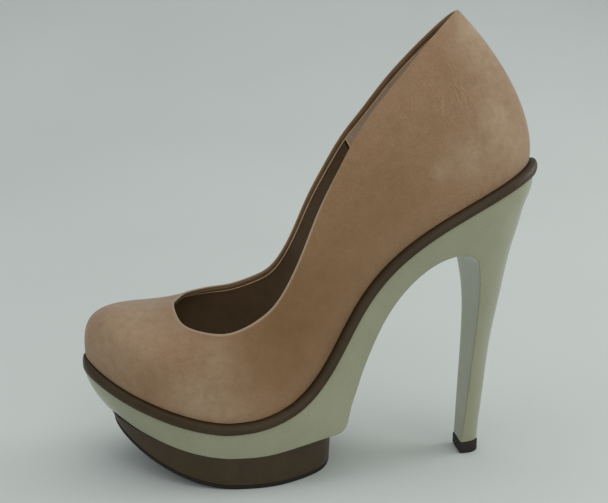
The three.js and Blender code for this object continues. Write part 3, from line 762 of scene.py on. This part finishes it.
def unit_rung(side, angle, share):
    """Side of the platform layer and bridge: share runs from the rand down to the lower edge."""
    top = edge_point(side, angle, unit_inset(angle), -GAP)
    low = unit_edge_point(side, angle)
    _, out = last_plan(side, angle)
    tuck = unit_curves["tuck"](round_along(angle))
    swell = UNIT_SWELL * BALL_WIDTH * tuck * share * (1 - share)
    offset = np.concatenate([swell[..., None] * out, np.zeros(np.shape(swell) + (1,))], -1)
    return mix(top, low, share[..., None]) + offset


def unit_walls(side):
    """Grid of the wall in front of the arch and grid of the wall behind it, both with one row more
    than needed beside the lower edge, where the rounding starts."""
    shares = np.linspace(0, 1, PLATFORM_STEPS + 1)
    angle = station_angle(shares * ARCH_STATION)
    top, low = edge_point(side, angle, unit_inset(angle), -GAP), unit_edge_point(side, angle)
    start = 1 - EDGE_ROUND / np.linalg.norm(low - top, axis=-1)
    rows = np.concatenate([np.linspace(0, 1, RUNG_ROWS)[None] * start[:, None], np.ones((len(angle), 1))], 1)
    front = unit_rung(side, angle[:, None] + 0 * rows, rows)

    rung_share = rows[-1]
    column_share = np.linspace(0, 1, COLUMN_ROWS + 1)[1:]
    down = np.concatenate([ARCH_SHARE * rung_share, mix(ARCH_SHARE, 1, column_share)])
    depth = LENGTH * (heel_curves["back"](down) - heel_curves["front"](down))

    # A section leaves the breast at three times its side share, so this far round it the edge is rounded
    first = EDGE_ROUND / (3 * heel_curves["side"](down) * depth)
    steps = np.linspace(0, 1, SEAT_STEPS)[:, None]
    turn = np.concatenate([np.zeros((1, len(down))), mix(first[None], 1, steps)])
    behind = heel_point(side, down[None] + 0 * turn, turn)

    # The section starts where the bridge ends, and its top follows the rand
    pull = ((1 - turn) ** 2)[..., None]
    joint = unit_rung(side, np.full(len(rung_share), angle[-1]), rung_share)
    plain = heel_point(side, ARCH_SHARE * rung_share, 0)
    count = len(rung_share)
    fade = soft_step(1 - (down[count:] - ARCH_SHARE) / (BREAST_FADE * (1 - ARCH_SHARE)))
    behind[:, :count] += (joint - plain)[None] * pull[:, :count]
    behind[:, count:] += (joint[-1] - plain[-1]) * pull[:, count:] * fade[None, :, None]
    seat_station = mix(ARCH_STATION, 1, turn[:, :count])
    seat = edge_point(side, station_angle(seat_station), UNIT_INSET, -GAP)
    weight = soft_step(1 - SEAT_FADE * rung_share)[None, :, None]
    behind[:, :count] = mix(behind[:, :count], seat, weight)
    return angle, front, behind


def unit_piece(stuff):
    """Both side walls, the underside with the breast, the top and the foot of the heel."""
    rims, patches, tops, ends = {}, [], {}, {}
    for side in (OUTER, INNER):
        angle, front, behind = unit_walls(side)
        patches += [patch(front[:, :-1]), patch(behind[:, :RUNG_ROWS]), patch(behind[1:, RUNG_ROWS - 1:])]
        wall = np.concatenate([front[:, -2], behind[1:2, RUNG_ROWS - 1], behind[1, RUNG_ROWS:]])
        edge = np.concatenate([front[:, -1], front[-1:, -1], behind[0, RUNG_ROWS:]])
        rims[side] = (wall, edge, unit_edge_point(side, angle, EDGE_ROUND))
        tops[side] = np.concatenate([front[:, 0], behind[1:, 0]])
        ends[side] = behind[:, -1]

    # Underside and breast in one strip, with rounded edges
    turns = np.linspace(0, 1, ROUND_ROWS + 1)[None, :, None]
    rest = 1 - turns
    strips = []
    for side in (OUTER, INNER):
        wall, edge, under = rims[side]
        across = unit(rims[-side][1] - edge)
        inside = edge + EDGE_ROUND * across
        inside[:len(under)] = under
        inside[len(under) - 1:len(under) + 2] = under[-1]
        rounding = rest ** 2 * wall[:, None] + 2 * rest * turns * edge[:, None]
        strips.append(rounding + turns ** 2 * inside[:, None])
    outer, inner = strips
    shares = np.linspace(0, 1, ACROSS + 1)[None, :, None]
    middle = mix(outer[:, -1:], inner[:, -1:], shares[:, 1:-1])
    patches.append(patch(np.concatenate([outer, middle, inner[:, ::-1]], axis=1)))
    for pair in (tops, ends):
        patches.append(patch(mix(pair[OUTER][:, None], pair[INNER][:, None], shares)))
    piece = build("painted_unit", patches, stuff["painted"], sharp=50)
    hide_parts("heel_platform")


# Forepart block, outsole and heel tip

fore_plan = outline(FORE_PLAN, FORE_X, FORE_LENGTH, FORE_WIDTH, FORE_SWING * TOE_SWING)


def underside_z(x):
    """Underside of the platform layer in side view, taken from its own lower edge."""
    angle = station_angle(np.linspace(0, ARCH_STATION, UNDERSIDE_SAMPLES))
    middle = (unit_edge_point(OUTER, angle) + unit_edge_point(INNER, angle)) / 2
    rising = np.concatenate([[True], middle[1:, 0] > np.maximum.accumulate(middle[:, 0])[:-1]])
    return np.interp(x, middle[rising, 0], middle[rising, 2])


def sole_z(x):
    """The sole is flat on the floor from the ball back and curls up at the toe."""
    curl = np.clip((x - TREAD_START) / (FORE_X - TREAD_START), 0, None)
    return np.where(x < TREAD_START, OUTSOLE_SPRING * curl ** SOLE_CURL, 0)


def fore_ring(inset, rake, height):
    """Outline of the forepart with an inset, its front drawn back by the rake, at a height along X."""
    def side_points(side, angle):
        spot, _ = fore_plan(side, angle, inset)
        x = spot[..., 0] + rake * (1 - round_along(angle)) ** RAKE_FADE
        return np.stack([x, spot[..., 1], height(x)], -1)

    return ring_of(side_points, np.linspace(0, 1, FORE_STEPS + 1))


def block_piece(stuff):
    """Leather-covered block between the painted layer and the outsole."""
    top = fore_ring(0, 0, lambda x: underside_z(x) - GAP)
    low = fore_ring(BLOCK_TAPER, BLOCK_RAKE, lambda x: sole_z(x) + OUTSOLE_THICK + GAP)
    rings = mix(low[None], top[None], np.linspace(0, 1, BLOCK_ROWS + 1)[:, None, None])
    piece = build("block_cover", [patch(rings, wrap=True), lid(rings[0]), lid(rings[-1])], stuff["block"])
    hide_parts("platform_block")


def outsole_piece(stuff):
    rings = [fore_ring(BLOCK_TAPER + inward * MM, BLOCK_RAKE, lambda x: sole_z(x) + up * OUTSOLE_THICK)
             for inward, up in OUTSOLE_EDGE]
    rings = np.array(rings)
    piece = build("outsole_rubber", [patch(rings, wrap=True), lid(rings[0]), lid(rings[-1])], stuff["sole"])
    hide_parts("outsole")


def tip_piece(stuff):
    """Square at the breast and rounded at the back."""
    middle = (heel_point(OUTER, 1, 0)[0] + heel_point(OUTER, 1, 1)[0]) / 2
    turn = np.linspace(0, np.pi, 2 * TIP_STEPS + 1)
    levels = [(inset, up * MM) for inset, up in TIP_FOOT_EDGE]
    levels += [(inset, TIP_HEIGHT - down * MM) for inset, down in TIP_TOP_EDGE]
    rings = []
    for inset, z in levels:
        deep, wide = TIP_DEPTH / 2 - inset * MM, TIP_WIDTH / 2 - inset * MM
        x = middle - deep + 2 * deep * np.sin(turn).clip(0) ** TIP_ROUND
        rings.append(np.stack([x, -wide * np.cos(turn), np.full_like(x, z)], -1))
    rings = np.array(rings)
    shares = np.linspace(0, 1, ACROSS + 1)[None, :, None]
    lids = []
    for ring in (rings[0], rings[-1]):
        near, far = ring[:TIP_STEPS + 1, None], ring[::-1][:TIP_STEPS + 1, None]
        lids.append(patch(mix(near, far, shares)))
    piece = build("tip_rubber", [patch(rings, wrap=True), *lids], stuff["tip"])
    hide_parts("heel_tip")


# Materials

def linear(code):
    """Colour of a hex code in linear light."""
    parts = [int(code[i:i + 2], 16) / 255 for i in (1, 3, 5)]
    return tuple(p / 12.92 if p <= 0.04045 else ((p + 0.055) / 1.055) ** 2.4 for p in parts) + (1.0,)


class Stuff:
    """A node material that is built up step by step. Positions are in metres on the piece. The shader's
    own numbers come as keywords, such as coat_weight for Coat Weight."""

    def __init__(self, name, **sockets):
        self.material = bpy.data.materials.new(name)
        self.material.use_nodes = True
        self.tree = self.material.node_tree
        self.shader = self.tree.nodes["Principled BSDF"]
        self.place = self.node("ShaderNodeTexCoord").outputs["Object"]
        for socket, value in sockets.items():
            self.shader.inputs[socket.replace("_", " ").title().replace("Ior", "IOR")].default_value = value

    def node(self, kind, links=None, **settings):
        made = self.tree.nodes.new(kind)
        for key, value in settings.items():
            setattr(made, key, value)
        for key, value in (links or {}).items():
            if isinstance(value, bpy.types.NodeSocket):
                self.tree.links.new(value, made.inputs[key])
            else:
                made.inputs[key].default_value = value
        return made

    def noise(self, size, detail=3.0, rough=0.55, stretch=(1, 1, 1), turn=0.0, warp=0.0):
        """Soft noise whose spots are about size metres wide, drawn out along axes that are turned in
        side view."""
        links = {"Vector": self.place, "Scale": stretch, "Rotation": (0, turn, 0)}
        place = self.node("ShaderNodeMapping", links, vector_type="TEXTURE").outputs[0]
        made = self.node("ShaderNodeTexNoise", {
            "Vector": place, "Scale": 1 / size, "Detail": detail, "Roughness": rough, "Distortion": warp})
        return made.outputs["Fac"]

    def cells(self, size):
        made = self.node("ShaderNodeTexVoronoi", {"Vector": self.place, "Scale": 1 / size})
        return made.outputs["Distance"]

    def scratch(self, x, low, high, wide):
        """Thin upright line on the outer side that wavers a little and fades at its ends."""
        parts = self.node("ShaderNodeSeparateXYZ", {0: self.place}).outputs
        waver = self.spread(self.noise(6 * MM, 1), 0.3, 0.7, -0.6 * MM, 0.6 * MM)
        aside = self.sum("ABSOLUTE", self.sum("SUBTRACT", self.sum("ADD", parts[0], waver), x), 0)
        near = self.spread(aside, wide, 2 * wide, 1.0, 0.0)
        above = self.spread(parts[2], low, mix(low, high, 0.35))
        below = self.spread(parts[2], mix(low, high, 0.65), high, 1.0, 0.0)
        outer = self.spread(parts[1], -2 * MM, 0, 1.0, 0.0)
        return self.sum("MULTIPLY", self.sum("MULTIPLY", near, outer), self.sum("MULTIPLY", above, below))

    def mark(self, name):
        return self.node("ShaderNodeAttribute", attribute_name=name).outputs["Fac"]

    def spread(self, value, low, high, to_low=0.0, to_high=1.0):
        """Maps a range of a value to another range, clamped."""
        made = self.node("ShaderNodeMapRange", {
            "Value": value, "From Min": low, "From Max": high, "To Min": to_low, "To Max": to_high})
        return made.outputs["Result"]

    def sum(self, kind, a, b):
        return self.node("ShaderNodeMath", {0: a, 1: b}, operation=kind).outputs[0]

    def blend(self, share, a, b):
        """Mixes two colours, each a hex code or a socket. The node's colour sockets go by number, because
        its sockets for other kinds of value have the same names."""
        made = self.node("ShaderNodeMix", {"Factor": share}, data_type="RGBA")
        for socket, value in ((made.inputs[6], a), (made.inputs[7], b)):
            if isinstance(value, bpy.types.NodeSocket):
                self.tree.links.new(value, socket)
            else:
                socket.default_value = linear(value)
        return made.outputs[2]

    def bump(self, *layers):
        """Layers are pairs of a height between 0 and 1 and its real depth in metres."""
        normal = None
        for height, depth in layers:
            links = {"Height": height, "Distance": depth, "Strength": 1.0}
            if normal is not None:
                links["Normal"] = normal
            normal = self.node("ShaderNodeBump", links).outputs[0]
        self.tree.links.new(normal, self.shader.inputs["Normal"])

    def colour(self, socket):
        self.tree.links.new(socket, self.shader.inputs["Base Color"])

    def rough(self, socket):
        self.tree.links.new(socket, self.shader.inputs["Roughness"])


def nubuck():
    """Matt tan nap with clouds, a fine mottle and fleck, scratches of wear, pale and dark patches that are
    partly the nubuck's own and partly painted highlight and painted shade, and a pale topline rim that is
    partly a painted highlight.
    """
    made = Stuff("nubuck", sheen_weight=0.25, sheen_roughness=0.45, specular_ior_level=0.25)
    cloud = made.spread(made.noise(26 * MM, 4, 0.6, warp=0.6), 0.36, 0.66)
    base = made.blend(cloud, "#9b7b5b", "#a78565")
    mottle = made.spread(made.noise(5 * MM, 5, 0.7, warp=0.4), 0.34, 0.7)
    base = made.blend(mottle, base, "#ae8d70")
    fleck = made.spread(made.noise(0.7 * MM, 4, 0.7), 0.38, 0.68, 0.0, 0.45)
    base = made.blend(fleck, base, "#785c40")
    ragged = made.spread(made.noise(5 * MM, 6, 0.7), 0.3, 0.7, 0.35, 1.1)
    even = made.spread(made.noise(9 * MM, 4, 0.6), 0.25, 0.75, 0.7, 1.0)
    # Dark patches darken the ball, waist and quarter and pale patches lighten the toe top and heel: partly
    # the nubuck's own patches, partly painted shade and painted highlight
    base = made.blend(made.sum("MULTIPLY", made.mark("dark"), even), base, "#80603d")
    base = made.blend(made.sum("MULTIPLY", made.mark("pale"), ragged), base, "#c3af94")
    for x, low, high in SCRATCHES:
        line = made.scratch(x * MM, low * MM, high * MM, SCRATCH_WIDTH)
        base = made.blend(made.sum("MULTIPLY", line, SCRATCH_STRENGTH), base, "#d1bea5")
    # Pale topline rim: partly the nubuck's paler cut edge, partly a painted highlight on the rounded edge
    pale_edge_and_highlight = made.spread(made.mark("drop"), *RIM_DEPTHS, 0.9, 0.0)
    base = made.blend(pale_edge_and_highlight, base, "#bba68d")
    made.colour(made.blend(made.sum("MULTIPLY", made.mark("inside"), 0.5), base, "#8b6d51"))
    made.rough(made.spread(mottle, 0, 1, 0.82, 0.95))
    folds = made.spread(made.noise(1.2 * MM, 2, 0.5, stretch=(1, 3, 4), turn=-0.44, warp=0.2), 0.38, 0.62)
    folds = made.sum("MULTIPLY", folds, made.mark("wrinkled"))
    made.bump((made.noise(0.35 * MM, 3, 0.7), 0.06 * MM), (made.noise(1.4 * MM, 4, 0.65), 0.1 * MM),
              (folds, 0.3 * MM))
    return made.material


def brown_leather(name, dark, light, gloss, coat, grain=0.9 * MM, depth=0.05 * MM, shine=0.5):
    """Smooth wrapped leather with a fine grain and a thin finish."""
    made = Stuff(name, coat_weight=coat, coat_roughness=0.3, specular_ior_level=shine)
    cloud = made.spread(made.noise(9 * MM, 4, 0.6), 0.32, 0.7)
    base = made.blend(cloud, dark, light)
    pores = made.spread(made.cells(grain), 0.05, 0.6, 0.3, 0.0)
    made.colour(made.blend(pores, base, dark))
    made.rough(made.spread(cloud, 0, 1, gloss - 0.06, gloss + 0.08))
    made.bump((made.cells(grain), depth), (made.noise(0.3 * MM, 3, 0.6), depth / 3))
    return made.material


def suede():
    """Soft nap of the heel grip."""
    made = Stuff("grip_suede", sheen_weight=0.3, sheen_roughness=0.5, specular_ior_level=0.2)
    cloud = made.spread(made.noise(6 * MM, 5, 0.7, warp=0.8), 0.34, 0.68)
    made.colour(made.blend(cloud, "#c2aa94", "#d0b9a5"))
    made.rough(made.spread(cloud, 0, 1, 0.9, 1.0))
    made.bump((made.noise(0.4 * MM, 4, 0.7), 0.09 * MM))
    return made.material


def pearl_lacquer():
    """Smooth grey green paint with a pale fleck under a clear coat."""
    made = Stuff("pearl_lacquer", coat_weight=0.6, coat_roughness=0.12, metallic=0.25)
    fleck = made.spread(made.noise(0.45 * MM, 4, 0.75), 0.4, 0.75)
    cloud = made.spread(made.noise(14 * MM, 3, 0.5), 0.35, 0.65)
    base = made.blend(cloud, "#939275", "#9a9a7e")
    made.colour(made.blend(fleck, base, "#a5a78d"))
    made.rough(made.spread(fleck, 0, 1, 0.46, 0.34))
    made.bump((made.noise(0.5 * MM, 3, 0.6), 0.01 * MM), (made.noise(5 * MM, 2, 0.5), 0.03 * MM))
    return made.material


def black_rubber(name, dark, light):
    """Matt rubber, a little uneven in tone."""
    made = Stuff(name, specular_ior_level=0.25)
    cloud = made.spread(made.noise(3 * MM, 5, 0.7), 0.3, 0.75)
    made.colour(made.blend(cloud, dark, light))
    made.rough(made.spread(cloud, 0, 1, 0.6, 0.85))
    made.bump((made.noise(0.4 * MM, 4, 0.7), 0.05 * MM))
    return made.material


def all_stuff():
    return {
        "nubuck": nubuck(),
        "lining": brown_leather("lining_leather", "#5a4631", "#67533b", 0.55, 0.1),
        "sock": brown_leather("sock_leather", "#bda982", "#d1bf99", 0.55, 0.1),
        "binding": brown_leather("binding_leather", "#6c5238", "#846445", 0.5, 0.15),
        "grip": suede(),
        "thread": brown_leather("thread", "#e6c198", "#fbdbb0", 0.6, 0.05),
        "rand": brown_leather("rand_leather", "#36270f", "#413116", 0.45, 0.08, 0.7 * MM, shine=0.3),
        "painted": pearl_lacquer(),
        "block": brown_leather("block_leather", "#3c2f1d", "#473822", 0.52, 0.06, 0.8 * MM, shine=0.3),
        "sole": black_rubber("sole_rubber", "#1d1a17", "#2b2824"),
        "tip": black_rubber("tip_rubber", "#23211d", "#34312c"),
    }


# Camera, light and stage

CAMERA_PLACE = Vector((-1.07, -396.1, 175.44)) * MM
CAMERA_TARGET = Vector((30.1, 0, 101.8)) * MM
SENSOR_WIDTH = 36
LENS = 50.33
CLIP_START = 10 * MM

ROOM_COLOUR = (0.93, 0.97, 1.0, 1)
ROOM_STRENGTH = 0.4
LAMP_COLOUR = (1, 0.99, 0.97)

# Round lamps: name, place, what they point at, width and power
LAMPS = (
    ("above", (0.2, 0.0, 2.2), (0.2, 0.0, 0), 2.4, 11),
    ("behind", (1.5, 0.2, 0.8), (0.06, 0, 0.1), 1.0, 5.5),
    ("front", (0.5, -1.7, 0.9), (0.05, 0, 0.05), 2.0, 8.5),
    ("toe_side", (-1.5, -0.3, 1.3), (0, 0, 0.05), 1.2, 1.5),
)

# The paper runs from its front edge to the bend and up from there
STAGE_HALF = 4.0
STAGE_FRONT = -3.0
STAGE_BEND = 0.35
STAGE_RADIUS = 2.5
STAGE_TOP = 4.0


def aim(thing, place, target):
    thing.location = place
    thing.rotation_euler = (Vector(target) - Vector(place)).to_track_quat("-Z", "Y").to_euler()


def make_camera():
    """Low view of the outer side, a little from the toe."""
    camera = bpy.data.objects.new("camera", bpy.data.cameras.new("camera"))
    camera.data.sensor_width = SENSOR_WIDTH
    camera.data.lens = LENS
    camera.data.clip_start = CLIP_START
    aim(camera, CAMERA_PLACE, CAMERA_TARGET)
    bpy.context.scene.collection.objects.link(camera)
    bpy.context.scene.camera = camera


def round_lamp(name, place, target, size, power):
    light = bpy.data.lights.new(name, "AREA")
    light.shape = "DISK"
    light.size = size
    light.energy = power
    light.color = LAMP_COLOUR
    lamp = bpy.data.objects.new(name, light)
    aim(lamp, place, target)
    bpy.context.scene.collection.objects.link(lamp)


def make_light():
    world = bpy.data.worlds.new("studio")
    world.use_nodes = True
    background = world.node_tree.nodes["Background"]
    background.inputs["Color"].default_value = ROOM_COLOUR
    background.inputs["Strength"].default_value = ROOM_STRENGTH
    bpy.context.scene.world = world
    bpy.context.scene.view_settings.view_transform = "Standard"
    for lamp in LAMPS:
        round_lamp(*lamp)


def make_stage():
    """Pale paper floor that sweeps up far behind the shoe."""
    made = Stuff("paper", roughness=0.9, specular_ior_level=0.1)
    cloud = made.spread(made.noise(0.5, 2, 0.5), 0.3, 0.7)
    made.colour(made.blend(cloud, "#d9dfdb", "#dee4e0"))
    made.bump((made.noise(1.2 * MM, 4, 0.7), 0.05 * MM))
    profile = [(STAGE_FRONT, 0.0), (STAGE_BEND, 0.0)]
    for turn in np.linspace(0, math.pi / 2, STAGE_STEPS + 1)[1:]:
        profile.append((STAGE_BEND + STAGE_RADIUS * math.sin(turn), STAGE_RADIUS * (1 - math.cos(turn))))
    profile.append((STAGE_BEND + STAGE_RADIUS, STAGE_TOP))
    points = [(x, y, z) for y, z in profile for x in (-STAGE_HALF, STAGE_HALF)]
    faces = [(2 * i, 2 * i + 1, 2 * i + 3, 2 * i + 2) for i in range(len(profile) - 1)]
    mesh = bpy.data.meshes.new("floor")
    mesh.from_pydata(points, [], faces)
    mesh.shade_smooth()
    mesh.materials.append(made.material)
    floor = bpy.data.objects.new("floor", mesh)
    bpy.context.scene.collection.objects.link(floor)


make_camera()
make_light()
make_stage()
stuff = all_stuff()
nubuck_piece(stuff)
lining_pieces(stuff)
grip_pieces(stuff)
insole_piece(stuff)
rand_piece(stuff)
unit_piece(stuff)
block_piece(stuff)
outsole_piece(stuff)
tip_piece(stuff)
